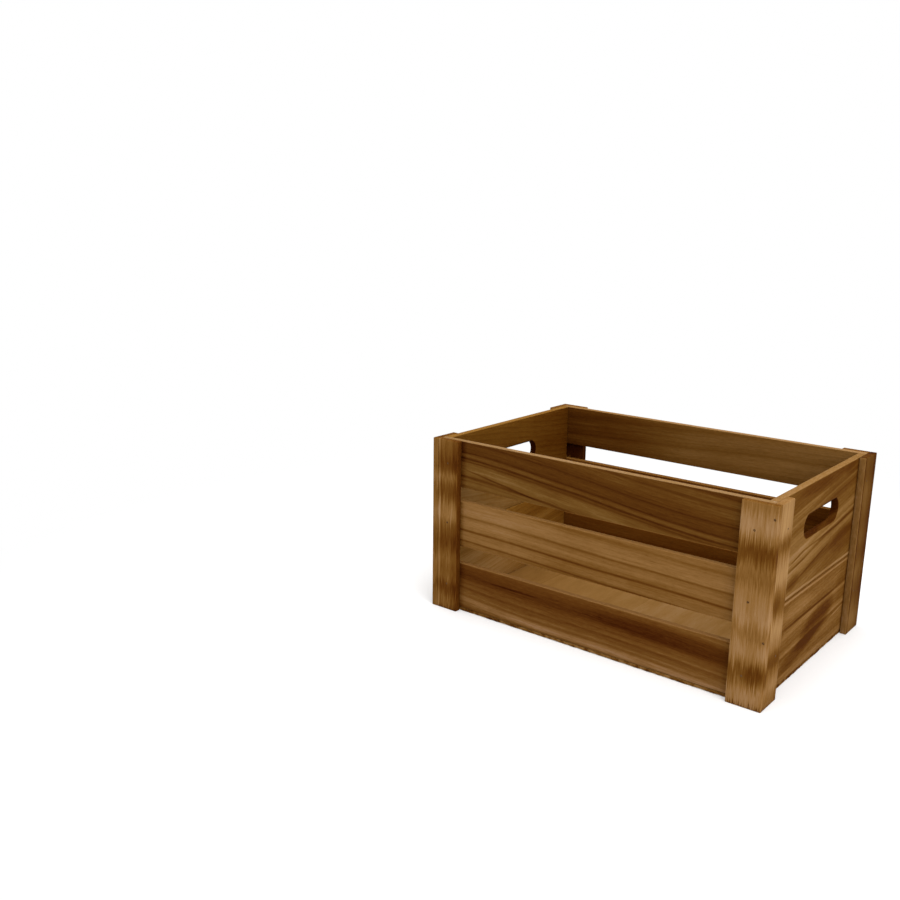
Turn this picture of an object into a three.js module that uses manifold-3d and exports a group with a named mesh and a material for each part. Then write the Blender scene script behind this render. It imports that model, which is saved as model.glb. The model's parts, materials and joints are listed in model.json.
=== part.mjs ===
// Wooden apple crate: slatted long sides, two-board ends with hand holds, a thin panel
// bottom and an angle of two strips at every corner, all held together with brads.
//
// Millimetres, +Z up. The origin is the centre of the footprint, on the ground.
// +X runs along the long sides, -Y is the front and +Y the rear.

import * as THREE from 'three';
import { mergeVertices } from 'three/addons/utils/BufferGeometryUtils.js';
import Module from 'manifold-3d';

const wasm = await Module();
wasm.setup();

// ---- Driving dimensions ------------------------------------------------------------

const LENGTH = 360;
const WIDTH = 240;
const HEIGHT = 180;

const STRIP = { leg: 32, thick: 6.5 };
const PANEL = { thick: 4 };

// Long sides: three slats each, given by the heights of their lower and upper edges.
const SLAT = { thick: 6.5 };
const SIDES = [
  { name: 'front', y: -1, slats: { bottom: [PANEL.thick, 52], middle: [70, 118], top: [132, HEIGHT] } },
  { name: 'rear', y: 1, slats: { bottom: [PANEL.thick, 52], middle: [74.5, 118.5], top: [136, HEIGHT] } },
];

// Ends: a lower and an upper board each, butted together at jointZ.
const END = { thick: 7, jointZ: 82 };
const ENDS = [
  { name: 'left', x: -1 },
  { name: 'right', x: 1 },
];
const HAND_HOLD = { length: 83, height: 21, z: 141, arcSegments: 14 };

// Round brads. The recess is how far a head sits below the face it was driven into,
// and the clearance is the gap that its hole keeps all round.
const BRAD = { shank: 0.6, head: 1.1, headDepth: 0.7, point: 1.6, recess: 0.2, clearance: 0.3 };
const BRAD_SIDES = 8;
const BRAD_LENGTH = { face: 12, angle: 18, panel: 16 };
const ANGLE_BRAD_Z = { low: 62, high: 168 };
const END_BRAD_Z = { lower: 44, upper: 156 };
const PANEL_BRAD_X = [-110, 0, 110];
const PANEL_BRAD_Y = [-50, 50];

// ---- Planes that several pieces share ----------------------------------------------

// Faces that the strips cover: the outer faces of the slats and of the end boards.
const SIDE_FACE = WIDTH / 2 - STRIP.thick;
const END_FACE = LENGTH / 2 - STRIP.thick;
// Inner faces, where the hollow of the crate starts.
const SIDE_INNER = SIDE_FACE - SLAT.thick;
const END_INNER = END_FACE - END.thick;

// ---- Materials ---------------------------------------------------------------------

const wood = (color, roughness) => new THREE.MeshStandardMaterial({ color, roughness, metalness: 0 });

const MATERIALS = {
  slat: () => wood(0x7b5429, 0.6),
  endBoard: () => wood(0x784f27, 0.6),
  strip: () => wood(0x8c6436, 0.6),
  panel: () => wood(0x866235, 0.75),
  brad: () => new THREE.MeshStandardMaterial({ color: 0x6d665c, roughness: 0.45, metalness: 1 }),
};

// ---- Booleans ----------------------------------------------------------------------

// A closed solid from a geometry, with the vertices that its faces share merged.
function solidFrom(geometry) {
  const bare = geometry.clone();
  bare.deleteAttribute('normal');
  bare.deleteAttribute('uv');
  const merged = mergeVertices(bare);
  const mesh = new wasm.Mesh({
    numProp: 3,
    vertProperties: new Float32Array(merged.attributes.position.array),
    triVerts: new Uint32Array(merged.index.array),
  });
  return new wasm.Manifold(mesh);
}

// The geometry of a solid, ready to be shown.
function geometryFrom(solid) {
  const mesh = solid.getMesh();
  const geometry = new THREE.BufferGeometry();
  geometry.setAttribute('position', new THREE.BufferAttribute(mesh.vertProperties, 3));
  geometry.setIndex(new THREE.BufferAttribute(mesh.triVerts, 1));
  geometry.computeVertexNormals();
  return geometry;
}

// ---- Brads -------------------------------------------------------------------------

const DRIVE = new THREE.Vector3(0, -1, 0);

// A brad standing along Y with its head's top at the origin and its point below.
// A grow above zero swells it into its own hole, which then opens past the head.
function bradGeometry(length, grow = 0) {
  const rim = grow > 0 ? BRAD.recess + grow : 0;
  const outline = [
    [0, rim],
    [BRAD.head + grow, rim],
    [BRAD.head + grow, -BRAD.headDepth - grow],
    [BRAD.shank + grow, -BRAD.headDepth - grow],
    [BRAD.shank + grow, -length + BRAD.point],
    [0, -length - grow],
  ];
  const points = outline.map(([radius, height]) => new THREE.Vector2(radius, height));
  return new THREE.LatheGeometry(points.reverse(), BRAD_SIDES);
}

// A brad driven along a direction from a point on the face of the wood.
function brad(name, face, direction, length) {
  const turn = new THREE.Quaternion().setFromUnitVectors(DRIVE, direction);
  const head = face.clone().addScaledVector(direction, BRAD.recess);
  return { name, head, turn, length };
}

function bradMesh({ name, head, turn, length }) {
  const mesh = new THREE.Mesh(bradGeometry(length), MATERIALS.brad());
  mesh.name = name;
  mesh.position.copy(head);
  mesh.quaternion.copy(turn);
  return mesh;
}

// The hole of a brad as a solid, in the frame of a board with the given centre.
function bradHole({ head, turn, length }, centre) {
  const place = new THREE.Matrix4().compose(head.clone().sub(centre), turn, new THREE.Vector3(1, 1, 1));
  return solidFrom(bradGeometry(length, BRAD.clearance).applyMatrix4(place));
}

// ---- Boards ------------------------------------------------------------------------

// A board is a box between two values on each axis, given in either order.
function board(name, material, x, y, z) {
  const box = new THREE.Box3().setFromPoints([
    new THREE.Vector3(x[0], y[0], z[0]),
    new THREE.Vector3(x[1], y[1], z[1]),
  ]);
  return { name, material, box, brads: [] };
}

function boxGeometry(size) {
  return new THREE.BoxGeometry(size.x, size.y, size.z);
}

// A board across an end with the hand hold cut through it: a slot with round ends.
function handHoldGeometry(size, centre) {
  const radius = HAND_HOLD.height / 2;
  const reach = HAND_HOLD.length / 2 - radius;
  const slotZ = HAND_HOLD.z - centre.z;
  const outline = new THREE.Shape();
  outline.moveTo(-size.y / 2, -size.z / 2);
  outline.lineTo(size.y / 2, -size.z / 2);
  outline.lineTo(size.y / 2, size.z / 2);
  outline.lineTo(-size.y / 2, size.z / 2);
  outline.closePath();
  const slot = new THREE.Path();
  slot.absarc(reach, slotZ, radius, -Math.PI / 2, Math.PI / 2, false);
  slot.absarc(-reach, slotZ, radius, Math.PI / 2, Math.PI * 1.5, false);
  slot.closePath();
  outline.holes.push(slot);
  const geometry = new THREE.ExtrudeGeometry(outline, {
    depth: size.x,
    bevelEnabled: false,
    curveSegments: HAND_HOLD.arcSegments,
  });
  geometry.translate(0, 0, -size.x / 2);
  // The outline's axes become Y and Z, and the extrusion runs along X.
  const across = new THREE.Matrix4().makeBasis(
    new THREE.Vector3(0, 1, 0),
    new THREE.Vector3(0, 0, 1),
    new THREE.Vector3(1, 0, 0),
  );
  return geometry.applyMatrix4(across);
}

function boardMesh({ name, material, box, brads, shape = boxGeometry }) {
  const centre = box.getCenter(new THREE.Vector3());
  const size = box.getSize(new THREE.Vector3());
  let geometry = shape(size, centre);
  if (brads.length > 0) {
    let solid = solidFrom(geometry);
    for (const nail of brads) {
      solid = solid.subtract(bradHole(nail, centre));
    }
    geometry = geometryFrom(solid);
  }
  const mesh = new THREE.Mesh(geometry, material());
  mesh.name = name;
  mesh.position.copy(centre);
  return mesh;
}

// ---- The crate ---------------------------------------------------------------------

const boards = new Map();
const brads = [];

function add(piece) {
  boards.set(piece.name, piece);
}

// Drives a brad through the named boards.
function nail(piece, ...boardNames) {
  brads.push(piece);
  for (const name of boardNames) {
    boards.get(name).brads.push(piece);
  }
}

// The panel lies under the slats and end boards, flush with their outer faces.
add(board('bottom_panel', MATERIALS.panel, [-END_FACE, END_FACE], [-SIDE_FACE, SIDE_FACE], [0, PANEL.thick]));

for (const side of SIDES) {
  const depth = [side.y * SIDE_FACE, side.y * SIDE_INNER];
  for (const [level, edges] of Object.entries(side.slats)) {
    const name = `${side.name}_slat_${level}`;
    add(board(name, MATERIALS.slat, [-END_FACE, END_FACE], depth, edges));
  }
}

for (const end of ENDS) {
  const depth = [end.x * END_FACE, end.x * END_INNER];
  const span = [-SIDE_INNER, SIDE_INNER];
  add(board(`${end.name}_end_lower`, MATERIALS.endBoard, depth, span, [PANEL.thick, END.jointZ]));
  const upper = board(`${end.name}_end_upper`, MATERIALS.endBoard, depth, span, [END.jointZ, HEIGHT]);
  add({ ...upper, shape: handHoldGeometry });
}

// Each corner has a strip on the long side and one on the end. One of the two runs out
// to the corner and laps the other's edge, and which one alternates round the crate.
for (const side of SIDES) {
  for (const end of ENDS) {
    const corner = `${side.name}_${end.name}`;
    const sideStrip = `${corner}_strip_on_side`;
    const endStrip = `${corner}_strip_on_end`;
    const sideLaps = side.y * end.x < 0;

    const sideReach = LENGTH / 2 - (sideLaps ? 0 : STRIP.thick);
    const sideX = [end.x * sideReach, end.x * (LENGTH / 2 - STRIP.leg)];
    const sideY = [side.y * WIDTH / 2, side.y * SIDE_FACE];
    add(board(sideStrip, MATERIALS.strip, sideX, sideY, [0, HEIGHT]));

    const endReach = WIDTH / 2 - (sideLaps ? STRIP.thick : 0);
    const endX = [end.x * LENGTH / 2, end.x * END_FACE];
    const endY = [side.y * endReach, side.y * (WIDTH / 2 - STRIP.leg)];
    add(board(endStrip, MATERIALS.strip, endX, endY, [0, HEIGHT]));

    // Through the strip on the side into each slat.
    const inFromSide = new THREE.Vector3(0, -side.y, 0);
    const slatX = end.x * (LENGTH / 2 - STRIP.leg + END_FACE) / 2;
    for (const [level, [lower, upper]] of Object.entries(side.slats)) {
      const face = new THREE.Vector3(slatX, side.y * WIDTH / 2, (lower + upper) / 2);
      const piece = brad(`brad_${corner}_slat_${level}`, face, inFromSide, BRAD_LENGTH.face);
      nail(piece, sideStrip, `${side.name}_slat_${level}`);
    }

    // Through the strip on the end into both end boards.
    const inFromEnd = new THREE.Vector3(-end.x, 0, 0);
    const endBoardY = side.y * (WIDTH / 2 - STRIP.leg + SIDE_INNER) / 2;
    for (const [level, z] of Object.entries(END_BRAD_Z)) {
      const face = new THREE.Vector3(end.x * LENGTH / 2, endBoardY, z);
      const piece = brad(`brad_${corner}_end_${level}`, face, inFromEnd, BRAD_LENGTH.face);
      nail(piece, endStrip, `${end.name}_end_${level}`);
    }

    // Through the lapping strip into the edge of the other one.
    const edgeX = end.x * (LENGTH / 2 - STRIP.thick / 2);
    const edgeY = side.y * (WIDTH / 2 - STRIP.thick / 2);
    for (const [level, z] of Object.entries(ANGLE_BRAD_Z)) {
      const face = sideLaps
        ? new THREE.Vector3(edgeX, side.y * WIDTH / 2, z)
        : new THREE.Vector3(end.x * LENGTH / 2, edgeY, z);
      const direction = sideLaps ? inFromSide : inFromEnd;
      const piece = brad(`brad_${corner}_angle_${level}`, face, direction, BRAD_LENGTH.angle);
      nail(piece, sideStrip, endStrip);
    }
  }
}

// Up through the panel into the lower edges of the slats and of the end boards.
const UP = new THREE.Vector3(0, 0, 1);
for (const side of SIDES) {
  PANEL_BRAD_X.forEach((x, index) => {
    const face = new THREE.Vector3(x, side.y * (SIDE_FACE - SLAT.thick / 2), 0);
    const piece = brad(`brad_panel_${side.name}_${index + 1}`, face, UP, BRAD_LENGTH.panel);
    nail(piece, 'bottom_panel', `${side.name}_slat_bottom`);
  });
}
for (const end of ENDS) {
  PANEL_BRAD_Y.forEach((y, index) => {
    const face = new THREE.Vector3(end.x * (END_FACE - END.thick / 2), y, 0);
    const piece = brad(`brad_panel_${end.name}_${index + 1}`, face, UP, BRAD_LENGTH.panel);
    nail(piece, 'bottom_panel', `${end.name}_end_lower`);
  });
}

const group = new THREE.Group();
for (const piece of boards.values()) {
  group.add(boardMesh(piece));
}
for (const piece of brads) {
  group.add(bradMesh(piece));
}

export default group;
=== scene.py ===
"""Toasted pine apple crate: boards, corner strips and brads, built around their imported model."""

import json
import math

import bmesh
import bpy
from bpy.props import FloatProperty, FloatVectorProperty, PointerProperty
from mathutils import Euler, Matrix, Vector


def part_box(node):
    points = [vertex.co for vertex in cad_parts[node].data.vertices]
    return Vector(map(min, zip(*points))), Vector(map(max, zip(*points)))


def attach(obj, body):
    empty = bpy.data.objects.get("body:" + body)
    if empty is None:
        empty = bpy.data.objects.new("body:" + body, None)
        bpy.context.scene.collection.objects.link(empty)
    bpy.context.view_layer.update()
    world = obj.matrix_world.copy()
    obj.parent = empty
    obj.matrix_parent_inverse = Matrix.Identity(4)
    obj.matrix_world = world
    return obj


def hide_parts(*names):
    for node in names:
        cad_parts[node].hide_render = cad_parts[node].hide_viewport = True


bl_info = {
    "name": "Apple Crate",
    "version": (1, 0, 0),
    "blender": (4, 5, 0),
    "location": "3D View > Sidebar > Crate",
    "description": "Builds a toasted pine apple crate around its packed model",
    "category": "Add Mesh",
}

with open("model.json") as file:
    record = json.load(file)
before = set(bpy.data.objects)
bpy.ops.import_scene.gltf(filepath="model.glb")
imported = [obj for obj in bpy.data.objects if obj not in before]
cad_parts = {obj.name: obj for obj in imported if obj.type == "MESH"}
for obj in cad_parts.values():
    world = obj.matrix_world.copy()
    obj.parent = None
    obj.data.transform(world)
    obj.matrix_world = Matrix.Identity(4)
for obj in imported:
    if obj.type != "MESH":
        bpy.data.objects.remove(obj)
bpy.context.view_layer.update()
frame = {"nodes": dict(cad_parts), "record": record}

MM = 0.001
TINY = 1e-6
WHITE = 255
ROOT = "root"
LONG_SIDES = ("front", "rear")
ENDS = ("left", "right")
LEVELS = ("bottom", "middle", "top")
SLATS = [f"{side}_slat_{level}" for side in LONG_SIDES for level in LEVELS]
END_BOARDS = [f"{end}_end_{level}" for end in ENDS for level in ("lower", "upper")]
STRIPS = [
    f"{side}_{end}_strip_on_{face}"
    for side in LONG_SIDES
    for end in ENDS
    for face in ("side", "end")
]
PANEL = "bottom_panel"
BRADS = sorted(node for node in frame["nodes"] if node.startswith("brad_"))


def srgb(red, green, blue):
    """A screen colour from 0 to WHITE as the linear colour that Blender's sockets take."""
    return tuple(
        c / 12.92 if c <= 0.04045 else ((c + 0.055) / 1.055) ** 2.4
        for c in (red / WHITE, green / WHITE, blue / WHITE)
    )


# --- Grain of each board ------------------------------------------------------------------------
#
# Distances are in millimetres, and tones run from 0, black, to WHITE. Some tones, bands, rims and
# gains below also paint shade and light, as noted at each board.
#
# face      the side that the tones were chosen for, -1 or 1 along the board's thickness
# turned    whether the grain runs across the longer side
# bow, reach, tilt   the grain's lines follow across + bow * tanh(along / reach) + tilt * along
# lean      how far the lines move across for each millimetre into the wood
# wander    how far noise bends them
# tint      factors for the red and the blue of the colours
# gain      factor for a whole colour
# contrast  factor for the spread of the main pattern's tones
# shift     taken off the places of the main pattern
# darkest   the lowest tone, before pores and edges
# streak, fibre, fleck, mottle   changes of tone by the coarse, fine, short and broad noises
# ring      change of tone from one side of a growth ring to the other
# period    width of a growth ring
# ragged    twice the distance that the borders of bands stray
# rub       change of tone on rubbed edges
# ends      what the end grain takes off the tone; on the panel partly painted shade along the crate's foot
# hold      change of tone on the wall of the hand hold
# tones     each (place across the grain, tone), the main pattern; on a strip, changes of tone
# bands     each (place along the board, change of tone); on a strip, tones, the main pattern
# scorch    marks, each (along, across, half length, half width, slope, change of tone)
# lines     straight lines, each (across, half width, change of tone)
# rims      narrow faces, each (side, -1 or 1, tone, how far flecks vary it)

SLAT_GRAIN = dict(
    face=-1, turned=False, bow=0, reach=120, tilt=0, lean=0.6, wander=0.9, tint=(1, 1), gain=1,
    contrast=1, shift=0, darkest=20, streak=4, fibre=5, fleck=5, mottle=3, ring=5, period=4.6,
    ragged=3, rub=8, ends=14, hold=0, tones=(), bands=(), scorch=(), lines=(), rims=((1, 92, 6),),
)
STRIP_GRAIN = dict(
    SLAT_GRAIN, lean=0.3, wander=1.0, streak=7, fibre=9, fleck=4, mottle=4, ring=0, ragged=26,
    rub=6, rims=(),
)
TOP_TONES = (
    (118, 62), (124, 72), (128.5, 70), (130.3, 44), (132, 70), (137, 78), (143, 72), (145, 64),
    (146.2, 46), (147.4, 58), (149, 36), (150.4, 58), (152.6, 66), (155, 38), (157, 50), (161, 52),
    (163.8, 52), (165.5, 38), (167.2, 54), (168, 50), (174, 60), (179, 62), (181, 48), (183, 62),
    (187, 62), (189.5, 42), (192, 52), (198, 56),
)
MIDDLE_TONES = (
    (66, 72), (70, 76), (71.8, 72), (73, 50), (74.4, 84), (78, 84), (83, 80), (84.7, 50),
    (86.2, 80), (92, 90), (97, 80), (98.4, 68), (100, 90), (106, 94), (112, 86), (115, 74),
    (117, 84), (122, 84),
)
BOTTOM_TONES = (
    (-4, 46), (1, 56), (4, 70), (8, 92), (11, 84), (13, 70), (16, 76), (20, 66), (22, 56), (24, 70),
    (28, 60), (31, 58), (34.5, 44), (41, 50), (47, 56), (50, 60), (52, 72), (60, 62),
)
END_TONES = (
    (55, 80), (70, 86), (88, 75), (95, 80), (103, 65), (110, 84), (115, 91), (119, 69), (122, 94),
    (125, 82), (129, 95), (134, 78), (143, 80), (151, 66), (157, 83), (159, 69), (163, 78),
    (168, 66), (180, 62), (200, 66),
)
LOWER_END_TONES = (
    (-20, 84), (-8, 80), (2, 88), (12, 80), (22, 90), (30, 76), (33, 95), (38, 80), (48, 86),
    (51, 98), (54, 78), (66, 88), (78, 80), (86, 90), (100, 84),
)
REAR_TONES = (
    (-60, 62), (-30, 70), (-22, 58), (-14, 66), (-6, 72), (-2, 58), (4, 66), (12, 70), (18, 56),
    (24, 68), (34, 62), (60, 66),
)

GRAIN = {
    "front_slat_top": dict(
        SLAT_GRAIN, bow=17.1, reach=138.5, tilt=0.004, tint=(0.9, 1.38), gain=1.05, tones=TOP_TONES,
        # Painted shadow: the dip from -150 to -141 darkens the slat's left end beside the corner
        # strip.
        bands=((-175, 0), (-150, -24), (-146, -18), (-141, 0), (-60, -2), (60, -3), (175, 1)),
        scorch=((-100, 144, 52, 1.1, -0.17, -22),), rims=((1, 114, 10),),
    ),
    "front_slat_middle": dict(
        SLAT_GRAIN, bow=1.2, reach=92, tilt=0.021, tint=(0.98, 1.25), tones=MIDDLE_TONES,
        bands=(
            # Painted shadow: the dip from -150 to -144 darkens the slat's left end beside the
            # corner strip.
            (-175, 6), (-150, -12), (-147, -8), (-144, 6), (-90, 6), (-20, -4), (100, 0), (175, 0),
        ),
    ),
    "front_slat_bottom": dict(
        SLAT_GRAIN, bow=-4.8, reach=70, tilt=0.066, tint=(0.98, 1.38), fleck=7, tones=BOTTOM_TONES,
        # Painted shadow: the dip from -150 to -142 darkens the slat's left end beside the corner
        # strip.
        bands=((-175, 0), (-150, -16), (-147, -12), (-142, 0), (60, 0), (120, 5), (175, 2)),
        scorch=((90, 38, 100, 9, -0.02, -14), (-80, 39, 36, 1.2, 0, -16)), lines=((7.5, 3, 9),),
    ),
    "rear_slat_bottom": dict(
        SLAT_GRAIN, bow=-9, reach=150, tilt=0.03, tint=(1.13, 0.95), gain=0.88, shift=-20,
        tones=REAR_TONES,
    ),
    "rear_slat_middle": dict(
        SLAT_GRAIN, bow=14, reach=110, tilt=-0.02, tint=(1.06, 0.95), shift=-95, tones=REAR_TONES,
        bands=((-175, -6), (0, -10), (175, -12)),
    ),
    "rear_slat_top": dict(
        SLAT_GRAIN, bow=-12, reach=170, tilt=0.02, tint=(0.97, 1.15), contrast=0.8, shift=-158,
        # Painted shadow: the bands darken the left part of the inner face and lighten the right
        # part.
        tones=REAR_TONES, bands=((-175, -18), (-110, -12), (-60, 0), (-10, 14), (175, 21)),
        rims=((1, 112, 8),),
    ),
    "right_end_upper": dict(
        SLAT_GRAIN, face=1, bow=-36, reach=301, tilt=-0.018, tint=(0.98, 1.12), gain=0.92,
        contrast=1.3, darkest=50, fleck=7, ring=7, period=3.7, hold=-45, tones=END_TONES,
        # Painted shade: the drop from 84 to 88 darkens the board along its joint with the rear
        # strip.
        bands=((-107, 13), (-30, 7), (30, -4), (84, -5), (88, -20), (107, -20)),
        scorch=(
            (-22, 174, 42, 6, 0, -9), (72, 173, 22, 6, 0, -12), (-30, 162, 44, 1.4, 0.1, 16),
            (-52, 117, 20, 1.3, 0.19, -24), (10, 122, 58, 1.3, 0.05, -24),
            (68, 127, 24, 1.4, 0.11, -24), (-48, 110.5, 24, 1.3, 0.12, -20),
            (-40, 114, 30, 1.1, 0.15, 12), (-7, 104, 44, 1.3, 0.2, -20), (-58, 97, 15, 8, 0.1, -15),
            (62, 107, 32, 13, 0.05, -13),
        ),
        lines=((82, 1.0, -45), (84.9, 1.4, 26)), rims=((1, 108, 10),),
    ),
    "right_end_lower": dict(
        SLAT_GRAIN, face=1, bow=-4, reach=301, tilt=-0.03, tint=(1.03, 1.04), gain=0.82,
        contrast=1.5, darkest=46, fleck=10, ring=7, period=4.1, tones=LOWER_END_TONES,
        # Painted shade: the drop from 84 to 88 darkens the board along its joint with the rear
        # strip.
        bands=((-107, 0), (84, 0), (88, -20), (107, -20)),
        scorch=(
            (-38, 68, 38, 9, 0, 12), (-6, 55.5, 80, 1.4, 0.02, -26), (-6, 52.8, 78, 1.3, 0.02, 16),
            (14, 37, 46, 17, 0.23, -31), (-28, 22, 52, 8, 0.15, -26), (70, 30, 22, 1.4, 0.11, 24),
            (78, 60, 18, 20, 0.2, -9), (-20, 8, 60, 5, 0, 8),
        ),
        lines=((82, 1.0, -45), (79.5, 1.3, 26), (8, 4, 8)),
    ),
    "left_end_upper": dict(
        SLAT_GRAIN, face=1, bow=10, reach=120, tilt=0.05, tint=(1.03, 0.8), gain=0.92, fibre=7,
        ring=9, period=5.9, hold=-55,
        # Painted light: the tones make the inner face lighter below about 120 mm, to offset the
        # shade low inside the crate.
        tones=((70, 97), (90, 103), (112, 101), (124, 78), (150, 65), (168, 70), (190, 67)),
        bands=((-107, 3), (20, 0), (60, -8), (107, -14)), lines=((82, 0.8, -30),),
        rims=((1, 100, 8),),
    ),
    "left_end_lower": dict(
        # Painted light: the gain of 1.4 lightens the whole board, partly to offset the shade inside
        # the crate.
        SLAT_GRAIN, face=1, bow=-12, reach=140, tilt=-0.05, tint=(0.99, 0.86), gain=1.4, darkest=46,
        fibre=7, ring=9, period=5.3,
        tones=((-20, 98), (30, 98), (44, 84), (52, 94), (61, 72), (66, 76), (82, 72), (100, 72)),
        # Painted light: the bands make the board lighter at the front, where light falls in through
        # the front gap, and darker towards the rear.
        bands=((-107, 22), (-71, 21), (21, -1), (89, -20), (107, -24)), lines=((82, 0.8, -24),),
    ),
    "bottom_panel": dict(
        SLAT_GRAIN, face=1, turned=True, wander=0, tint=(0.97, 1.12), streak=2, fibre=3, fleck=3,
        # Painted shade: ends=58 darkens the front and rear edges, partly end grain and partly shade
        # along the crate's foot.
        mottle=6, ring=0, ends=58,
        tones=(
            (-175, 88), (-121.6, 87), (-121.4, 93), (-8.5, 96), (-8.3, 101), (104.6, 98),
            (104.8, 95), (175, 95),
        ),
        lines=((-121.5, 0.4, -8), (-8.4, 0.4, -8), (104.7, 0.4, -8)),
        # Painted shade: the rims darken the side edges, partly as shade along the crate's foot.
        rims=((-1, 28, 26), (1, 28, 26)),
    ),
    "front_right_strip_on_side": dict(
        STRIP_GRAIN, tint=(1, 1.12), gain=0.97,
        tones=((148, 0), (158, 2), (166, -2), (174, 0), (180, -3)),
        bands=(
            # Painted shadow: the first stop darkens the strip's foot, where it meets the floor.
            (0, 46), (1.6, 100), (14, 108), (20, 88), (28, 68), (34, 67), (42, 92), (49, 108),
            (56, 104), (66, 86), (72, 94), (80, 110), (92, 104), (104, 96), (113, 80), (123, 89),
            (132, 66), (140, 60), (147, 84), (156, 111), (166, 108), (178, 87),
        ),
        scorch=((31, 171, 11, 8, 0, -14), (138, 168, 8, 12, 0, -3)),
    ),
    "front_right_strip_on_end": dict(
        STRIP_GRAIN, face=1, tint=(1.06, 0.92), gain=0.78,
        tones=((-114, -4), (-108, 0), (-96, 2), (-88, 0)),
        bands=(
            # Painted shadow: the first stop darkens the strip's foot, where it meets the floor.
            (0, 50), (1.6, 112), (6, 92), (12, 102), (20, 119), (28, 103), (37, 73), (44, 80),
            (54, 104), (66, 126), (74, 119), (84, 84), (92, 77), (102, 97), (114, 128), (124, 126),
            (136, 95), (143, 78), (154, 124), (168, 127), (180, 122),
        ),
        scorch=(
            (97, -106, 15, 8, 0, -12), (43, -100, 9, 14, 0, -13), (144, -98, 9, 12, 0, -9),
            (8, -90, 7, 5, 0, -14),
        ),
    ),
    "front_left_strip_on_side": dict(
        STRIP_GRAIN, tint=(0.98, 1.18), gain=1.06,
        tones=(
            (-179, 13), (-176, 10), (-174.6, -5), (-173, 4), (-171.2, 27), (-169.4, -6), (-167, 3),
            # Painted shadow: the last stops darken the strip towards its inner edge at -148, beside
            # the slats.
            (-157, 3), (-154, -6), (-150, -13), (-148, -13),
        ),
        bands=(
            # Painted shadow: the first stop darkens the strip's foot, where it meets the floor.
            (0, 36), (1.6, 76), (12, 76), (20, 54), (28, 50), (36, 78), (44, 68), (56, 81),
            (68, 57), (76, 53), (92, 73), (101, 97), (110, 92), (122, 59), (132, 64), (141, 91),
            (149, 60), (156, 51), (166, 64), (178, 79),
        ),
        # Painted shadow: the rim darkens the strip's narrow inner face at -148.
        rims=((1, 44, 10),),
    ),
    "front_left_strip_on_end": dict(
        STRIP_GRAIN, tint=(1.06, 0.9), gain=0.76,
        tones=((-120, 10), (-116, 4), (-112, -8), (-104, 0), (-88, 0)),
        bands=(
            (0, 88), (10, 82), (20, 64), (30, 84), (42, 85), (54, 97), (66, 70), (76, 68), (90, 88),
            (104, 103), (116, 86), (128, 72), (138, 98), (150, 79), (164, 90), (180, 86),
        ),
    ),
    "rear_right_strip_on_side": dict(
        STRIP_GRAIN, face=1, tones=((148, 0), (160, 3), (172, -2)),
        bands=(
            (0, 88), (22, 92), (38, 62), (52, 84), (74, 98), (92, 66), (112, 88), (134, 74),
            (150, 96), (166, 70), (180, 84),
        ),
    ),
    "rear_right_strip_on_end": dict(
        STRIP_GRAIN, face=1, tint=(1.0, 1.08), gain=0.78,
        tones=((88, 2), (98, 8), (108, 0), (114, -14), (120, -20)),
        bands=(
            (0, 78), (14, 91), (28, 74), (40, 60), (50, 66), (66, 80), (84, 60), (100, 72),
            (116, 65), (128, 72), (148, 78), (162, 62), (180, 68),
        ),
        lines=((89.6, 1.1, -34),), rims=((-1, 100, 14),),
    ),
    "rear_left_strip_on_side": dict(
        STRIP_GRAIN, tones=((-180, -2), (-166, 3), (-148, 0)),
        bands=(
            (0, 96), (16, 88), (30, 60), (46, 92), (70, 104), (86, 72), (100, 90), (112, 54),
            (118, 26), (136, 26), (144, 70), (154, 98), (180, 88),
        ),
    ),
    "rear_left_strip_on_end": dict(
        STRIP_GRAIN, tones=((88, 0), (100, 3), (113, 0)),
        bands=(
            (0, 92), (24, 70), (34, 60), (52, 90), (78, 98), (94, 66), (118, 92), (140, 64),
            (158, 92), (180, 84),
        ),
    ),
}


# --- Sizes and finishes that a user may change --------------------------------------------------


def length(name, description, default):
    """A distance in metres."""
    return FloatProperty(
        name=name, description=description, default=default, min=0, unit="LENGTH",
        subtype="DISTANCE",
    )


def colour(name, description, default):
    """A linear colour."""
    return FloatVectorProperty(
        name=name, description=description, default=default, min=0, max=1, size=3,
        subtype="COLOR",
    )


class CrateSizes(bpy.types.PropertyGroup):
    """How the boards and brads are worked."""

    arris: length("Arris", "Width of the rubbed edge along each board", 0.7 * MM)
    waviness: length("Waviness", "Deepest hollow that the planer leaves in a face", 0.2 * MM)
    wave_size: length("Wave size", "Distance from one hollow to the next", 28 * MM)
    saw_marks: length("Saw marks", "Deepest nick in a sawn edge", 0.9 * MM)
    saw_pitch: length("Saw pitch", "Distance from one nick to the next", 4.5 * MM)
    grid: length("Grid", "Distance between the cross cuts of a board's mesh", 8 * MM)
    panel_grid: length("Panel grid", "Distance between cross cuts of the panel's mesh", 2.6 * MM)
    hold_length: length("Hand hold length", "Length of the slot in an end board", 83 * MM)
    hold_height: length("Hand hold height", "Height of the slot in an end board", 21 * MM)
    hold_rim: length("Hand hold rim", "Rounding of the slot's rim", 0.9 * MM)
    shank: length("Brad shank", "Radius of a brad's shank", 0.6 * MM)
    head_depth: length("Brad head", "Thickness of a brad's head", 0.7 * MM)
    point: length("Brad point", "Length of a brad's point", 1.6 * MM)
    play: length("Brad play", "Room round a brad in its hole", 0.03 * MM)


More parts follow.
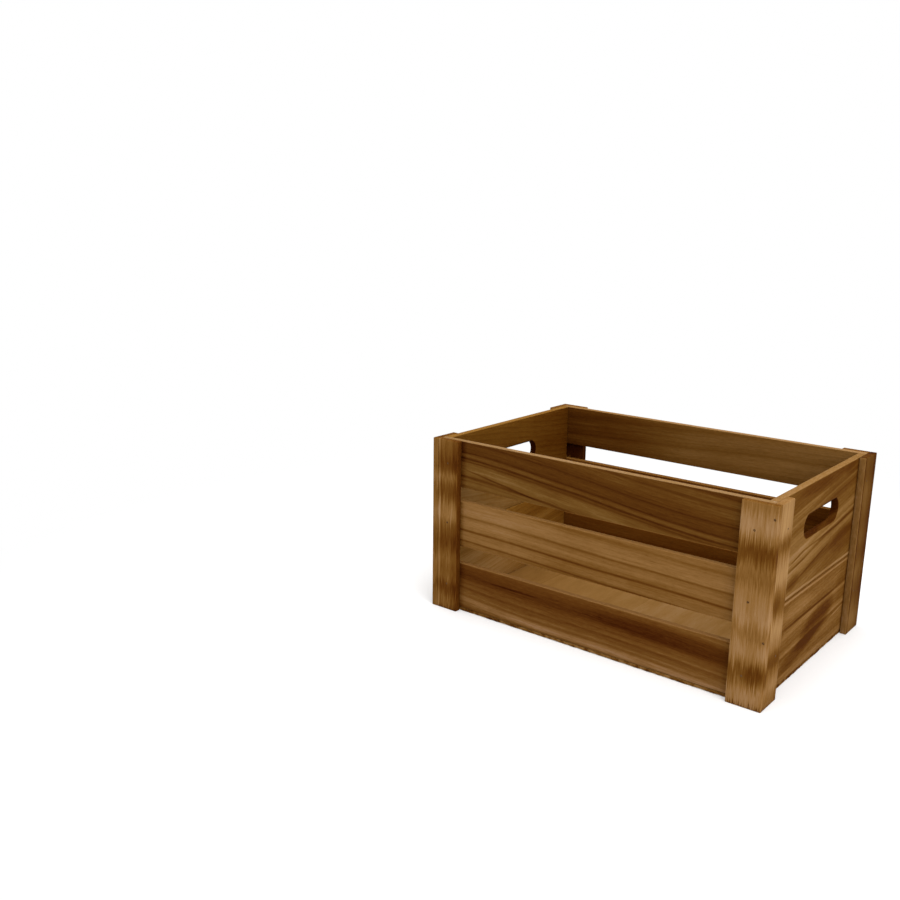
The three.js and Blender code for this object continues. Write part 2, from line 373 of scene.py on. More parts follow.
class CrateFinish(bpy.types.PropertyGroup):
    """Colours of the toasted pine and of the steel."""

    char: colour("Char", "Wood where the torch dwelt", srgb(46, 15, 0))
    burnt: colour("Burnt", "Wood in the darkest bands", srgb(67, 29, 4))
    toast: colour("Toast", "Dark latewood lines", srgb(93, 53, 12))
    brown: colour("Brown", "Mid tone of the boards", srgb(114, 75, 26))
    honey: colour("Honey", "Light tone of the boards", srgb(142, 102, 51))
    straw: colour("Straw", "Light tone of the strips", srgb(162, 124, 79))
    pale: colour("Pale", "Rubbed edges", srgb(182, 144, 96))
    fresh: colour("Fresh", "Freshly worn corners", srgb(204, 168, 121))
    roughness: FloatProperty(
        name="Roughness", description="Roughness of the wood", default=0.7, min=0, max=1
    )
    relief: length("Relief", "Depth of the raised grain", 0.12 * MM)
    steel: colour("Steel", "Colour of the brads", srgb(104, 74, 42))
    rust: colour("Rust", "Tarnish on the brads", srgb(74, 45, 18))


class CrateStage(bpy.types.PropertyGroup):
    """Floor, lamps and camera."""

    floor_size: length("Floor size", "Side of the floor", 9.0)
    floor: colour("Floor", "Colour of the floor", (0.83, 0.83, 0.83))
    floor_glow: FloatProperty(
        name="Floor glow", description="Light that the floor adds for the camera", default=0.2,
        min=0,
    )
    sky: FloatProperty(
        name="Sky", description="Strength of the even light from all round", default=0.52, min=0,
    )
    key: FloatProperty(
        name="Key", description="Power of the large lamp at the right", default=25, min=0,
        unit="POWER",
    )
    top: FloatProperty(
        name="Top", description="Power of the large lamp above", default=34, min=0, unit="POWER",
    )
    lens: FloatProperty(
        name="Lens", description="Focal length in millimetres", default=40.135, min=1
    )
    turn: FloatProperty(
        name="Turn", description="Camera's heading", default=math.radians(38.978), subtype="ANGLE"
    )
    dip: FloatProperty(
        name="Dip", description="How far the camera looks down", default=math.radians(14.405),
        subtype="ANGLE",
    )
    roll: FloatProperty(
        name="Roll", description="Camera's lean", default=math.radians(0.79), subtype="ANGLE"
    )
    camera_place: FloatVectorProperty(
        name="Camera place", description="Where the camera stands",
        default=(0.45998, -0.86767, 0.40719), unit="LENGTH", subtype="TRANSLATION", size=3,
    )
    shift_x: FloatProperty(name="Shift across", description="Sideways lens shift", default=-0.0111)
    shift_y: FloatProperty(name="Shift up", description="Upward lens shift", default=0.0133)


# --- Shader wiring ------------------------------------------------------------------------------


NOISE_HEIGHT = 3.6


class Wire:
    """An output of a shader node that takes part in arithmetic: each operation adds a Math node."""

    def __init__(self, tree, socket=None):
        self.tree = tree
        self.socket = socket

    def __getitem__(self, name):
        """Another output of the same node."""
        return Wire(self.tree, self.socket.node.outputs[name])

    def node(self, kind, settings=None, inputs=None, output=0):
        """Adds a node of this kind: its settings first, then the values or links of its sockets."""
        made = self.tree.nodes.new("ShaderNode" + kind)
        for name, value in (settings or {}).items():
            if name == "stops":
                stops = made.color_ramp.elements
                for stop, (place, shade) in zip(stops, (value[0], value[-1])):
                    stop.position, stop.color = place, shade
                for place, shade in value[1:-1]:
                    stops.new(place).color = shade
            else:
                setattr(made, name, value)
        for name, value in (inputs or {}).items():
            if isinstance(value, Wire):
                self.tree.links.new(value.socket, made.inputs[name])
            else:
                made.inputs[name].default_value = value
        return Wire(self.tree, made.outputs[output] if made.outputs else None)

    def math(self, operation, *others):
        """A Math node whose first value is this wire."""
        return self.node("Math", {"operation": operation}, dict(enumerate((self, *others))))

    def __add__(self, other):
        return self.math("ADD", other)

    __radd__ = __add__

    def __sub__(self, other):
        return self.math("SUBTRACT", other)

    def __rsub__(self, other):
        return self.math("MULTIPLY", -1.0).math("ADD", other)

    def __mul__(self, other):
        return self.math("MULTIPLY", other)

    __rmul__ = __mul__

    def __truediv__(self, other):
        return self.math("DIVIDE", other)

    def __abs__(self):
        return self.math("ABSOLUTE")

    def least(self, other):
        return self.math("MINIMUM", other)

    def most(self, other):
        return self.math("MAXIMUM", other)

    def rise(self, low, high):
        """0 below low, 1 above high, and smooth between them; high may be the lower of the two."""
        return self.node(
            "MapRange", {"interpolation_type": "SMOOTHSTEP"},
            {"Value": self, "From Min": low, "From Max": high},
        )

    def noise(self, x, y, z, detail=2.0, roughness=0.5):
        """Soft noise at this place, from about -1 to 1."""
        place = self.node("CombineXYZ", None, {0: x, 1: y, 2: z})
        cloud = self.node(
            "TexNoise", None,
            {"Vector": place, "Scale": 1.0, "Detail": detail, "Roughness": roughness},
        )
        return (cloud - 0.5) * NOISE_HEIGHT


def new_material(name):
    """An empty material and a wire on its node tree."""
    material = bpy.data.materials.new(name)
    material.use_nodes = True
    material.node_tree.nodes.clear()
    return material, Wire(material.node_tree)


def grey_ramp(wire, stops, shift=0.0, offset=0.0):
    """The tone between stops, each a place and a tone; the offset makes room for tones below 0."""
    places = [place for place, _ in stops]
    low, span = min(places), max(places) - min(places)
    steps = [((p - low) / span, ((t + offset) / WHITE,) * 3 + (1,)) for p, t in stops]
    ramp = wire.node("ValToRGB", {"stops": steps}, {0: (wire - (low - shift)) / span})
    return ramp * WHITE - offset


def hold_middle(node):
    """The middle of the opening for the hand hold in this end board."""
    openings = {o["name"]: o for o in frame["record"]["physics"]["openings"]}
    low, high = openings["hand_hold_" + node.split("_")[0]]["box_m"]
    return (Vector(low) + Vector(high)) / 2


def box_edge(along, across, depth):
    """Distance to a box's nearest edge, from the distances to its three pairs of faces."""
    return along.least(across).most(along.most(across).least(depth))


# --- Wood and steel -----------------------------------------------------------------------------

# Noises: millimetres along the board, across its lines and into the wood, then detail and
# roughness. The seed moves a noise along the board, or across it where "moved" is 1.
NOISES = {
    "wander": dict(size=(110, 30, 30), detail=2.0, roughness=0.5, moved=0),
    "coarse": dict(size=(75, 2.8, 9), detail=3.0, roughness=0.6, moved=0),
    "fine": dict(size=(22, 0.85, 3), detail=3.0, roughness=0.65, moved=0),
    "fleck": dict(size=(7, 1.3, 3), detail=2.0, roughness=0.7, moved=0),
    "pores": dict(size=(7, 0.55, 0.8), detail=0.0, roughness=0.5, moved=0),
    "blotch": dict(size=(55, 14, 20), detail=2.0, roughness=0.5, moved=1),
    "ragged": dict(size=(50, 1.3, 6), detail=3.0, roughness=0.7, moved=1),
}
SEED_STEP = 7.3
SPECKLE_WIDE, SPECKLE_THIN, SPECKLE_DETAIL = 1.1, 0.8, 1.0

# Where each thing starts to fade in and where it is full, in millimetres where no unit is given
DARK_FADE = (95, 55)  # tones
PORE_FADE = (0.75, 1.35)  # noise
SPOT_FADE = (1.3, 0.1)  # squares of the part of a mark's radius
LINE_FADE = (1.2, 0.5)  # times the line's half width
END_FADE = (0.75, 0.25)
RUBBED_FADE = (1.3, 0.2)
RIM_FADE = (0.9, 0.3)
HOLD_FADE = (1.5, 0.5)
TARNISH_FADE = (0.42, 0.62)  # noise

# How far noises bend the borders of things
RAGGED_WAVER = 0.5
RING_WAVER = 0.12
SPOT_WAVER = 0.25
LINE_WAVER = 0.12
RUBBED_WAVER, RUBBED_BLOTCH = 0.25, 0.3
RIM_WAVER = 0.1
HOLD_WAVER = 0.2

# How strongly they act
BLOTCH_CONTRAST, COARSE_CONTRAST = 0.3, 0.25
FIBRE_ON_LIGHT, MORE_ON_DARK = 0.8, 0.7
RING_MEAN = 0.25  # average of a ring's cubed ramp
PORE_TONE = 12
END_SPECKLE = 0.7
RIM_COVER = 0.8
CHANGE_OFFSET = 60  # changes of tone may go this far down

# The tone at which the wood has each colour of the finish
SHADES = {
    "char": 20, "burnt": 33, "toast": 55, "brown": 75, "honey": 96, "straw": 116, "pale": 133,
    "fresh": 155,
}

WOOD_BUMP, WOOD_SPECULAR = 0.55, 0.005
FINE_RELIEF, COARSE_RELIEF, PORE_RELIEF = 0.5, 0.35, 0.8
COARSE_ROUGHER, RUBBED_SMOOTHER = 0.05, 0.06
STEEL_BUMP, STEEL_SPECULAR, STEEL_RELIEF = 0.4, 0.15, 0.05 * MM
STEEL_METALLIC, RUST_DULLER = 0.35, 0.3
STEEL_ROUGHNESS, RUST_ROUGHER = 0.55, 0.3
TARNISH_SCALE, TARNISH_DETAIL, TARNISH_ROUGHNESS = 900.0, 3.0, 0.6
MIX_FIRST, MIX_SECOND, MIX_RESULT = 6, 7, 2  # sockets for colours on a Mix node


class Grain:
    """A board's grain settings, its places in millimetres, and the noises that its marks share."""

    def __init__(self, node, start):
        self.settings = GRAIN[node]
        self.start = start
        self.seed = SEED_STEP * (1 + list(GRAIN).index(node))
        self.low, self.high = (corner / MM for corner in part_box(node))
        size, middle = self.high - self.low, (self.high + self.low) / 2
        long, self.wide, self.thin = sorted(range(3), key=lambda axis: -size[axis])
        if self["turned"]:
            long, self.wide = self.wide, long

        place = start.node("TexCoord", output="Object")
        parts = start.node("SeparateXYZ", None, {0: place})
        self.mm = [parts[name] * (1 / MM) for name in "XYZ"]
        self.along, self.across = self.mm[long], self.mm[self.wide]
        self.depth = self.mm[self.thin] - (self.high if self["face"] > 0 else self.low)[self.thin]

        wander = self.noise("wander", self.across) * self["wander"]
        bow = self["bow"] * (self.along / self["reach"]).math("TANH")
        lines = self.across + bow + self["tilt"] * self.along
        self.lines = lines + self.depth * (self["lean"] * -self["face"]) + wander
        self.coarse = self.noise("coarse", self.lines)
        self.fine = self.noise("fine", self.lines)
        self.fleck = self.noise("fleck", self.lines)
        self.blotch = self.noise("blotch", self.lines)
        self.ragged = self.noise("ragged", self.lines)
        self.pores = self.noise("pores", self.lines).rise(*PORE_FADE)

        inset = [
            size[axis] / 2 - abs(self.mm[axis] - middle[axis])
            for axis in (long, self.wide, self.thin)
        ]
        self.from_end = inset[0]
        edge = box_edge(*inset) + self.fine * RUBBED_WAVER + self.blotch * RUBBED_BLOTCH
        self.rubbed = edge.rise(*RUBBED_FADE)

    def __getitem__(self, name):
        """One of the board's settings."""
        return self.settings[name]

    def noise(self, name, across):
        """One of the noises, moved by the seed so that no two boards share it."""
        noise = NOISES[name]
        places = zip((self.along, across, self.depth), noise["size"])
        place = [value / size for value, size in places]
        place[noise["moved"]] += self.seed
        return self.start.noise(*place, noise["detail"], noise["roughness"])


def pattern_tone(grain, strip):
    """The tone of the main pattern, bands on a strip and else tones, changed by the other one."""
    slow = grain.along + grain.ragged * grain["ragged"] * RAGGED_WAVER
    wires = {"bands": slow, "tones": grain.lines}
    main, other = ("bands", "tones") if strip else ("tones", "bands")
    base = sum(tone for _, tone in grain[main]) / len(grain[main])
    tone = grey_ramp(wires[main], grain[main], grain["shift"])
    spread = 1 + BLOTCH_CONTRAST * grain.blotch + COARSE_CONTRAST * grain.coarse
    tone = base + (tone - base) * (spread * grain["contrast"])
    if grain[other]:
        tone = tone + grey_ramp(wires[other], grain[other], offset=CHANGE_OFFSET)
    return tone


def add_marks(grain, tone):
    """The tone with growth rings, fibres, scorch marks, lines and pores, which are short dashes."""
    if grain["ring"]:
        waver = grain.coarse * RING_WAVER
        ring = (grain.lines / grain["period"] + waver + grain.seed).math("FRACT")
        tone = tone - (ring * ring * ring - RING_MEAN) * grain["ring"]
    strength = tone.rise(*DARK_FADE) * MORE_ON_DARK + FIBRE_ON_LIGHT
    tone = tone + (grain.coarse * grain["streak"] + grain.fine * grain["fibre"]) * strength
    tone = tone + grain.fleck * grain["fleck"] + grain.blotch * grain["mottle"]
    for mark_along, mark_across, half_length, half_width, slope, change in grain["scorch"]:
        away = grain.along - mark_along
        x = away / half_length
        y = (grain.across - mark_across - away * slope) / half_width
        spot = (x * x + y * y + grain.ragged * SPOT_WAVER).rise(*SPOT_FADE)
        tone = tone + spot * change
    for at, half_width, change in grain["lines"]:
        away = abs(grain.across + grain.fine * LINE_WAVER - at)
        tone = tone + away.rise(*(half_width * part for part in LINE_FADE)) * change
    return tone.most(grain["darkest"]) - grain.pores * PORE_TONE


def from_hold(grain, middle, length, height):
    """Distance outside a level slot with round ends, all in millimetres."""
    radius = height / 2
    beside = (abs(grain.mm[1] - middle.y) - (length / 2 - radius)).most(0.0)
    above = grain.mm[2] - middle.z
    return (beside * beside + above * above).math("SQRT") - radius


def add_edges(grain, tone, node):
    """The tone with end grain, rubbed edges, rims and the wall of the hand hold; on some boards the
    ends and rims also carry painted shade.
    """
    wide, thin = grain.mm[grain.wide] / SPECKLE_WIDE, grain.mm[grain.thin] / SPECKLE_THIN
    speckle = grain.start.noise(wide, thin, grain.seed, SPECKLE_DETAIL)
    ends = grain.from_end.rise(*END_FADE) * (1 + END_SPECKLE * speckle)
    tone = tone - ends * grain["ends"] + grain.rubbed * grain["rub"]
    for side, rim, spread in grain["rims"]:
        edge = (grain.high if side > 0 else grain.low)[grain.wide]
        away = abs(grain.across - edge) + grain.fine * RIM_WAVER
        cover = away.rise(*RIM_FADE) * RIM_COVER
        tone = tone + cover * (rim + grain.fleck * spread - tone)
    if grain["hold"]:
        sizes = bpy.context.scene.crate_sizes
        slot = (hold_middle(node) / MM, sizes.hold_length / MM, sizes.hold_height / MM)
        wall = (from_hold(grain, *slot) + grain.fleck * HOLD_WAVER).rise(*HOLD_FADE)
        tone = tone + wall * grain["hold"]
    return tone


def wood(node):
    """Toasted pine for one board: its own grain lines, fibres, burns and rubbed edges, and on some
    boards painted shade and painted light.
    """
    finish = bpy.context.scene.crate_finish
    material, start = new_material(node + "_pine")
    grain = Grain(node, start)
    tone = pattern_tone(grain, node in STRIPS)
    tone = add_edges(grain, add_marks(grain, tone), node)

    red, blue = grain["tint"]
    stops = []
    for shade, at in SHADES.items():
        tinted = zip(getattr(finish, shade), (red, 1, blue))
        stops.append((at / WHITE, (*(c * tint * grain["gain"] for c, tint in tinted), 1)))
    paint = start.node("ValToRGB", {"stops": stops}, {0: tone / WHITE})
    relief = grain.fine * FINE_RELIEF + grain.coarse * COARSE_RELIEF - grain.pores * PORE_RELIEF
    bump = start.node(
        "Bump", None, {"Strength": WOOD_BUMP, "Distance": finish.relief, "Height": relief}
    )
    roughness = finish.roughness + grain.coarse * COARSE_ROUGHER - grain.rubbed * RUBBED_SMOOTHER
    shader = start.node(
        "BsdfPrincipled", None,
        {
            "Base Color": paint,
            "Roughness": roughness,
            "Specular IOR Level": WOOD_SPECULAR,
            "Normal": bump,
        },
    )
    start.node("OutputMaterial", None, {"Surface": shader})
    return material


def tarnished_steel():
    """Dull steel with brown tarnish, for the brads."""
    finish = bpy.context.scene.crate_finish
    material, start = new_material("brad_steel")
    place = start.node("TexCoord", output="Object")
    spots = start.node(
        "TexNoise", None,
        {
            "Vector": place,
            "Scale": TARNISH_SCALE,
            "Detail": TARNISH_DETAIL,
            "Roughness": TARNISH_ROUGHNESS,
        },
    )
    tarnish = spots.rise(*TARNISH_FADE)
    tint = start.node(
        "Mix", {"data_type": "RGBA"},
        {0: tarnish, MIX_FIRST: (*finish.steel, 1), MIX_SECOND: (*finish.rust, 1)},
        output=MIX_RESULT,
    )
    bump = start.node(
        "Bump", None, {"Strength": STEEL_BUMP, "Distance": STEEL_RELIEF, "Height": spots}
    )
    shader = start.node(
        "BsdfPrincipled", None,
        {
            "Base Color": tint,
            "Metallic": STEEL_METALLIC - tarnish * RUST_DULLER,
            "Roughness": STEEL_ROUGHNESS + tarnish * RUST_ROUGHER,
            "Specular IOR Level": STEEL_SPECULAR,
            "Normal": bump,
        },
    )
    start.node("OutputMaterial", None, {"Surface": shader})
    return material


# --- Modelling ----------------------------------------------------------------------------------

HOLLOW_OCTAVES = 2
NEARLY = 0.9
ARRIS_CUTS, ARRIS_ROUND = 3, 0.5
SAWN_REACH = 1.2  # times the arris
SMOOTH_ANGLE = math.radians(32)
BRAD_SIDES, HOLD_SIDES = 20, 48
HEAD_FLAT, HEAD_DOME = 0.75, 0.25  # times the head's thickness
DOME_WIDTH, POINT_WIDTH = 0.88, 0.12  # times the width below
HOLE_LIFT = 1.5 * MM
HOLE_TURN = math.radians(4.5)
HOLD_STEPS = ((0.6, 0.2), (0.4, 0.8), (1.0, 0.6))  # outward and wider, times the rim


def begin(name):
    """Names the primitive that was just added and settles its place into its mesh."""
    piece = bpy.context.object
    piece.name = piece.data.name = name
    bpy.ops.object.transform_apply(location=True, rotation=True, scale=True)
    return piece


def choose(piece, kind, test):
    """In edit mode, selects the verts, edges or faces whose corners' places pass the test."""
    bpy.ops.mesh.select_mode(type={"verts": "VERT", "edges": "EDGE", "faces": "FACE"}[kind])
    bpy.ops.mesh.select_all(action="DESELECT")
    mesh = bmesh.from_edit_mesh(piece.data)
    for part in getattr(mesh, kind):
        corners = [part.co] if kind == "verts" else [vert.co for vert in part.verts]
        if test(corners):
            part.select_set(True)
    mesh.select_flush_mode()
    bmesh.update_edit_mesh(piece.data)


def only(piece):
    """Makes this the one selected and active object."""
    bpy.ops.object.select_all(action="DESELECT")
    piece.select_set(True)
    bpy.context.view_layer.objects.active = piece


def hollow(piece, name, size, depth, group=""):
    """Takes up to this depth off the skin in soft hollows of this size."""
    texture = bpy.data.textures.new(name, "CLOUDS")
    texture.noise_scale = size
    texture.noise_depth = HOLLOW_OCTAVES
    hollows = piece.modifiers.new(name, "DISPLACE")
    hollows.texture = texture
    hollows.texture_coords = "LOCAL"
    hollows.mid_level = 1.0
    hollows.strength = depth
    hollows.vertex_group = group
    only(piece)
    bpy.ops.object.modifier_apply(modifier=hollows.name)


def carve(piece, cutters):
    """Takes the cutters' shapes out of the piece, and throws the cutters away."""
    only(cutters[0])
    for cutter in cutters:
        cutter.select_set(True)
    if len(cutters) > 1:
        bpy.ops.object.join()
    cutter = bpy.context.object
    cut = piece.modifiers.new("cut", "BOOLEAN")
    cut.operation = "DIFFERENCE"
    cut.solver = "EXACT"
    cut.object = cutter
    only(piece)
    bpy.ops.object.modifier_apply(modifier=cut.name)
    bpy.data.objects.remove(cutter)


def draw_out(move, grow=(1, 1, 1), centre=(0, 0, 0)):
    """In edit mode, extrudes the chosen faces by this move and scales them about the centre."""
    bpy.ops.mesh.extrude_region_move(TRANSFORM_OT_translate={"value": move})
    bpy.ops.transform.resize(value=grow, center_override=centre)


def board(node, grid):
    """A board with rubbed edges and a slightly uneven skin, just inside its place in the model."""
    sizes = bpy.context.scene.crate_sizes
    low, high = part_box(node)
    size = high - low
    bpy.ops.object.select_all(action="DESELECT")
    bpy.ops.mesh.primitive_cube_add(size=1, location=(low + high) / 2, scale=size)
    piece = begin(node + "_wood")

    def is_arris(ends):
        """Whether an edge lies on one of the box's own edges, where two axes are at a limit."""
        return 2 == sum(
            abs(ends[0][i] - ends[1][i]) < TINY
            and min(abs(ends[0][i] - low[i]), abs(ends[0][i] - high[i])) < TINY
            for i in range(3)
        )

    bpy.ops.object.mode_set(mode="EDIT")
    for axis in sorted(range(3), key=lambda i: -size[i]):
        whole = NEARLY * size[axis]
        choose(piece, "edges", lambda ends: abs(ends[0][axis] - ends[1][axis]) > whole)
        bpy.ops.mesh.subdivide(number_cuts=max(1, round(size[axis] / grid) - 1))
    choose(piece, "edges", is_arris)
    bpy.ops.mesh.bevel(
        offset=sizes.arris, segments=ARRIS_CUTS, profile=ARRIS_ROUND, affect="EDGES"
    )
    bpy.ops.mesh.select_all(action="SELECT")
    bpy.ops.mesh.normals_make_consistent(inside=False)
    bpy.ops.object.mode_set(mode="OBJECT")
    hollow(piece, "planed", sizes.wave_size, sizes.waviness)
    return piece


def saw_edge(piece, node):
    """Takes nicks out of the edge all round the panel."""
    sizes = bpy.context.scene.crate_sizes
    low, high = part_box(node)
    edge = piece.vertex_groups.new(name="sawn_edge")
    for vert in piece.data.vertices:
        x, y, _ = (min(vert.co[i] - low[i], high[i] - vert.co[i]) for i in range(3))
        if min(x, y) < SAWN_REACH * sizes.arris:
            edge.add([vert.index], 1.0, "REPLACE")
    hollow(piece, "sawn", sizes.saw_pitch, sizes.saw_marks, edge.name)
    piece.vertex_groups.clear()


def nail(name, height, shank, head, head_depth, point):
    """A headed nail that hangs down from z = 0, turned on one cylinder."""
    shaft = height - head_depth - point
    top = -head_depth
    bpy.ops.object.select_all(action="DESELECT")
    bpy.ops.mesh.primitive_cylinder_add(
        vertices=BRAD_SIDES, radius=shank, depth=shaft, location=(0, 0, top - shaft / 2)
    )
    piece = begin(name)
    bpy.ops.object.mode_set(mode="EDIT")
    choose(piece, "faces", lambda ring: all(p.z > top - TINY for p in ring))
    wider = head / shank
    draw_out((0, 0, 0), (wider, wider, 1), (0, 0, top))
    draw_out((0, 0, head_depth * HEAD_FLAT))
    draw_out((0, 0, head_depth * HEAD_DOME), (DOME_WIDTH, DOME_WIDTH, 1))
    choose(piece, "faces", lambda ring: all(p.z < top - shaft + TINY for p in ring))
    draw_out((0, 0, -point), (POINT_WIDTH, POINT_WIDTH, 1), (0, 0, -height))
    bpy.ops.mesh.select_all(action="SELECT")
    bpy.ops.mesh.normals_make_consistent(inside=False)
    bpy.ops.object.mode_set(mode="OBJECT")
    return piece


def brad_line(node):
    """Where a brad's head sits, which way the head faces, and how long the brad is."""
    low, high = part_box(node)
    size, middle = high - low, (low + high) / 2
    axis = max(range(3), key=lambda i: size[i])
    outward = Vector((0, 0, 0))
    outward[axis] = -1 if axis == 2 or middle[axis] < 0 else 1
    return middle + outward * size[axis] / 2, outward, size[axis]


def set_in(pattern, name, place, outward):
    """A copy of this nail, with its own mesh, driven in here."""
    piece = pattern.copy()
    piece.data = pattern.data.copy()
    piece.name = piece.data.name = name
    bpy.context.scene.collection.objects.link(piece)
    turn = Vector((0, 0, 1)).rotation_difference(outward).to_matrix().to_4x4()
    piece.data.transform(Matrix.Translation(place) @ turn)
    return piece


def brad_shape(name, span, play=0.0, lift=0.0):
    """A brad, or with play and lift the room that one needs in a board."""
    sizes = bpy.context.scene.crate_sizes
    low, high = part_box(BRADS[0])
    head = sorted(high - low)[0] / 2
    return nail(
        name, span + lift, sizes.shank + play, head + play, sizes.head_depth + lift, sizes.point
    )


def drill(piece, node):
    """Cuts the holes for all brads that pass through this board.

    Each hole is turned a little, so that no corner of it falls on a cut of the board's mesh.
    """
    sizes = bpy.context.scene.crate_sizes
    low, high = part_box(node)
    cutters = []
    for brad in BRADS:
        brad_low, brad_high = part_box(brad)
        if all(brad_low[i] < high[i] - TINY and brad_high[i] > low[i] + TINY for i in range(3)):
            place, outward, span = brad_line(brad)
            pattern = brad_shape("hole", span, sizes.play, HOLE_LIFT)
            pattern.data.transform(Matrix.Rotation(HOLE_TURN, 4, "Z"))
            cutters.append(set_in(pattern, "hole_at", place + outward * HOLE_LIFT, outward))
            bpy.data.objects.remove(pattern)
    if cutters:
        carve(piece, cutters)


def hand_hold(piece, node):
    """Cuts the round-ended slot with a softened rim through an end board."""
    sizes = bpy.context.scene.crate_sizes
    low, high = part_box(node)
    middle = hold_middle(node)
    middle.x = (low.x + high.x) / 2
    radius, thick, rim = sizes.hold_height / 2, high.x - low.x, sizes.hold_rim
    wall = thick / 2 - rim
    bpy.ops.object.select_all(action="DESELECT")
    bpy.ops.mesh.primitive_cylinder_add(
        vertices=HOLD_SIDES, radius=radius, depth=thick - 2 * rim, location=middle,
        rotation=(0, math.pi / 2, 0),
    )
    cutter = begin("slot")
    bpy.ops.object.mode_set(mode="EDIT")
    for side in (-1, 1):
        choose(
            cutter, "faces", lambda ring: all((p.x - middle.x) * side > wall - TINY for p in ring)
        )
        reach = radius
        for outward, wider in HOLD_STEPS:
            grown = (reach + wider * rim) / reach
            draw_out((side * rim * outward, 0, 0), (1, grown, grown), middle)
            reach += wider * rim
    for side in (-1, 1):
        choose(cutter, "verts", lambda point: (point[0].y - middle.y) * side > TINY)
        bpy.ops.transform.translate(value=(0, side * (sizes.hold_length / 2 - radius), 0))
    bpy.ops.object.mode_set(mode="OBJECT")
    carve(piece, [cutter])


def finish_piece(piece, node, material):
    """Shades a piece, paints it and hands it to the frame in place of its node."""
    only(piece)
    bpy.ops.object.shade_smooth_by_angle(angle=SMOOTH_ANGLE)
    piece.data.materials.clear()
    piece.data.materials.append(material)
    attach(piece, ROOT)
    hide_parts(node)


def finish_board(piece, node):
    """Drills a board for its brads, and gives it its own wood."""
    drill(piece, node)
    finish_piece(piece, node, wood(node))


# --- Stage --------------------------------------------------------------------------------------

LAMP_SIZE = 1.6
LAMP_TARGET = (0, 0, 0.1)
KEY_PLACE = (1.7, -1.0, 1.5)
TOP_PLACE = (0.1, -0.2, 2.2)
FLOOR_FADE = (0.3, 0.75)
SENSOR = 36.0
PURE_WHITE = (1, 1, 1, 1)


def seen(start):
    """1 for rays from the camera and for mirrored and refracted rays, and 0 for all others."""
    rays = start.node("LightPath", output="Is Camera Ray")
    return rays.most(rays["Is Glossy Ray"]).most(rays["Is Transmission Ray"])


def lay_floor(stage):
    """A pale floor that fades to white away from the crate."""
    bpy.ops.object.select_all(action="DESELECT")
    bpy.ops.mesh.primitive_plane_add(size=stage.floor_size, location=(0, 0, 0))
    floor = begin("floor")
    material, start = new_material("floor_paper")
    looked_at = seen(start)
    paper = start.node("BsdfDiffuse", None, {"Color": (*stage.floor, 1)})
    glow = start.node("Emission", None, {"Strength": looked_at * stage.floor_glow})
    near = start.node("AddShader", None, {0: paper, 1: glow})
    far = start.node("Emission", None, {"Strength": 1.0})
    place = start.node("TexCoord", output="Object")
    away = start.node("VectorMath", {"operation": "LENGTH"}, {0: place}, output="Value")
    fade = looked_at * away.rise(*FLOOR_FADE)
    both = start.node("MixShader", None, {0: fade, 1: near, 2: far})
    start.node("OutputMaterial", None, {"Surface": both})
    floor.data.materials.append(material)


def light_sky(stage, scene):
    """Even light from all round, which looks white itself."""
    world = bpy.data.worlds.new("studio")
    scene.world = world
    world.use_nodes = True
    world.node_tree.nodes.clear()
    start = Wire(world.node_tree)
    light = start.node("Background", None, {"Color": PURE_WHITE, "Strength": stage.sky})
    white = start.node("Background", None, {"Color": PURE_WHITE, "Strength": 1.0})
    both = start.node("MixShader", None, {0: seen(start), 1: light, 2: white})
    start.node("OutputWorld", None, {"Surface": both})


def lamp(name, power, place):
    """A square soft lamp that shines from this place towards the crate."""
    bpy.ops.object.light_add(type="AREA", location=place)
    light = bpy.context.object
    light.name = name
    light.data.energy = power
    light.data.size = LAMP_SIZE
    aim = Vector(LAMP_TARGET) - Vector(place)
    light.rotation_euler = aim.to_track_quat("-Z", "Y").to_euler()


def place_camera(stage, scene):
    """The camera, with its heading, dip, lean and lens shift."""
    lens = bpy.data.cameras.new("camera")
    lens.lens = stage.lens
    lens.sensor_width = SENSOR
    lens.shift_x = stage.shift_x
    lens.shift_y = stage.shift_y
    camera = bpy.data.objects.new("camera", lens)
    scene.collection.objects.link(camera)
    heading = Euler((math.pi / 2 - stage.dip, 0, stage.turn)).to_matrix().to_4x4()
    lean = Matrix.Rotation(stage.roll, 4, "Z")
    camera.matrix_world = Matrix.Translation(stage.camera_place) @ heading @ lean
    scene.camera = camera
    scene.view_settings.view_transform = "Standard"


# --- Operators ----------------------------------------------------------------------------------


class CRATE_OT_slats(bpy.types.Operator):
    """Builds the six slats of the long sides"""

    bl_idname = "crate.slats"
    bl_label = "Slats"

    def execute(self, context):
        for node in SLATS:
            finish_board(board(node, context.scene.crate_sizes.grid), node)
        return {"FINISHED"}


class CRATE_OT_end_boards(bpy.types.Operator):
    """Builds the two boards of each end, the upper one with its hand hold"""

    bl_idname = "crate.end_boards"
    bl_label = "End boards"

    def execute(self, context):
        for node in END_BOARDS:
            piece = board(node, context.scene.crate_sizes.grid)
            if node.endswith("upper"):
                hand_hold(piece, node)
            finish_board(piece, node)
        return {"FINISHED"}


class CRATE_OT_bottom_panel(bpy.types.Operator):
    """Builds the thin bottom panel with its sawn edge"""

    bl_idname = "crate.bottom_panel"
    bl_label = "Bottom panel"

    def execute(self, context):
        piece = board(PANEL, context.scene.crate_sizes.panel_grid)
        saw_edge(piece, PANEL)
        finish_board(piece, PANEL)
        return {"FINISHED"}


class CRATE_OT_corner_strips(bpy.types.Operator):
    """Builds the two lapped strips of each corner"""

    bl_idname = "crate.corner_strips"
    bl_label = "Corner strips"

    def execute(self, context):
        for node in STRIPS:
            finish_board(board(node, context.scene.crate_sizes.grid / 2), node)
        return {"FINISHED"}


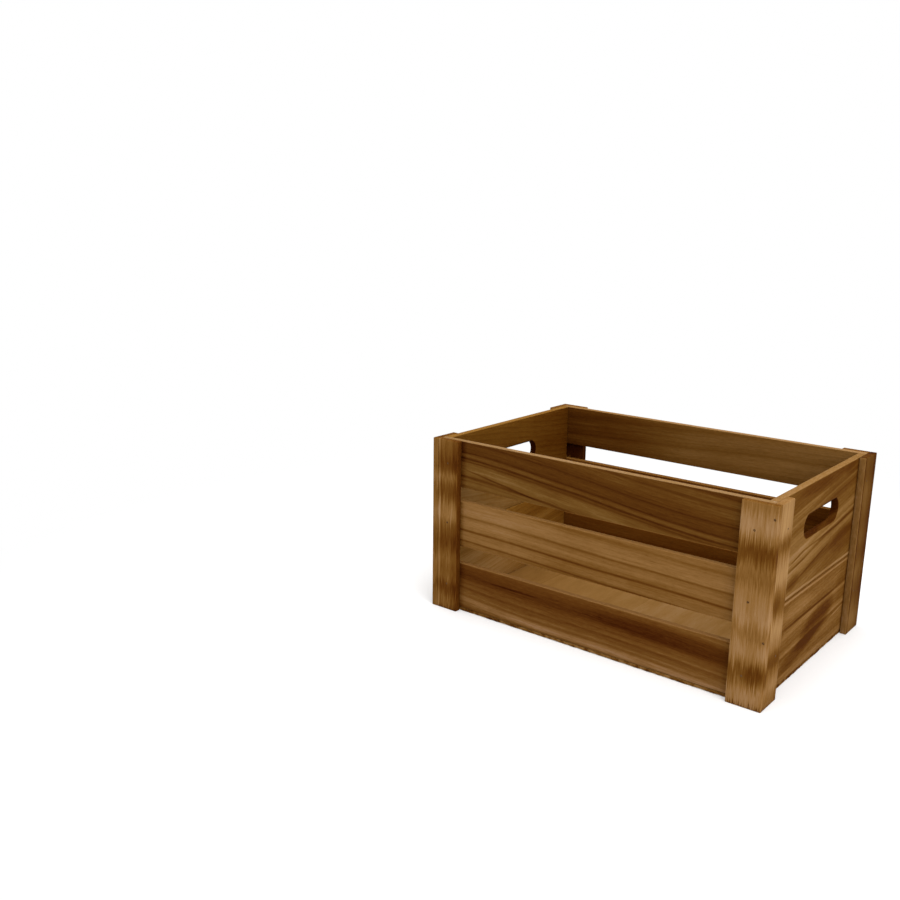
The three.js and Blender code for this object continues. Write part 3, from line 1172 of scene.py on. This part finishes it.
class CRATE_OT_brads(bpy.types.Operator):
    """Drives the brads, each length turned once and copied"""

    bl_idname = "crate.brads"
    bl_label = "Brads"

    def execute(self, context):
        steel = tarnished_steel()
        patterns = {}
        for node in BRADS:
            place, outward, span = brad_line(node)
            key = round(span / MM, 1)
            if key not in patterns:
                patterns[key] = brad_shape(f"pattern_{key}", span)
            piece = set_in(patterns[key], node + "_steel", place, outward)
            finish_piece(piece, node, steel)
        for pattern in patterns.values():
            bpy.data.objects.remove(pattern)
        return {"FINISHED"}


class CRATE_OT_stage(bpy.types.Operator):
    """Sets the pale floor, the soft lamps and the camera"""

    bl_idname = "crate.stage"
    bl_label = "Stage"

    def execute(self, context):
        scene = context.scene
        stage = scene.crate_stage
        lay_floor(stage)
        light_sky(stage, scene)
        lamp("key", stage.key, KEY_PLACE)
        lamp("top", stage.top, TOP_PLACE)
        place_camera(stage, scene)
        return {"FINISHED"}


class CRATE_PT_panel(bpy.types.Panel):
    """The crate's sizes, finishes and pieces"""

    bl_idname = "CRATE_PT_panel"
    bl_label = "Apple crate"
    bl_space_type = "VIEW_3D"
    bl_region_type = "UI"
    bl_category = "Crate"

    def draw(self, context):
        for group in GROUPS:
            box = self.layout.box()
            settings = getattr(context.scene, group)
            for name in settings.bl_rna.properties.keys():
                if name not in ("rna_type", "name"):
                    box.prop(settings, name)
        for operator in OPERATORS:
            self.layout.operator(operator.bl_idname)


OPERATORS = (
    CRATE_OT_slats,
    CRATE_OT_end_boards,
    CRATE_OT_bottom_panel,
    CRATE_OT_corner_strips,
    CRATE_OT_brads,
    CRATE_OT_stage,
)
GROUPS = {"crate_sizes": CrateSizes, "crate_finish": CrateFinish, "crate_stage": CrateStage}


def register():
    for group in (*GROUPS.values(), *OPERATORS, CRATE_PT_panel):
        bpy.utils.register_class(group)
    for name, group in GROUPS.items():
        setattr(bpy.types.Scene, name, PointerProperty(type=group))


def unregister():
    for name in GROUPS:
        delattr(bpy.types.Scene, name)
    for group in reversed((*GROUPS.values(), *OPERATORS, CRATE_PT_panel)):
        bpy.utils.unregister_class(group)


def main():
    register()
    bpy.ops.crate.slats()
    bpy.ops.crate.end_boards()
    bpy.ops.crate.bottom_panel()
    bpy.ops.crate.corner_strips()
    bpy.ops.crate.brads()
    bpy.ops.crate.stage()
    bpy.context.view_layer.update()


if __name__ == "__main__":
    main()
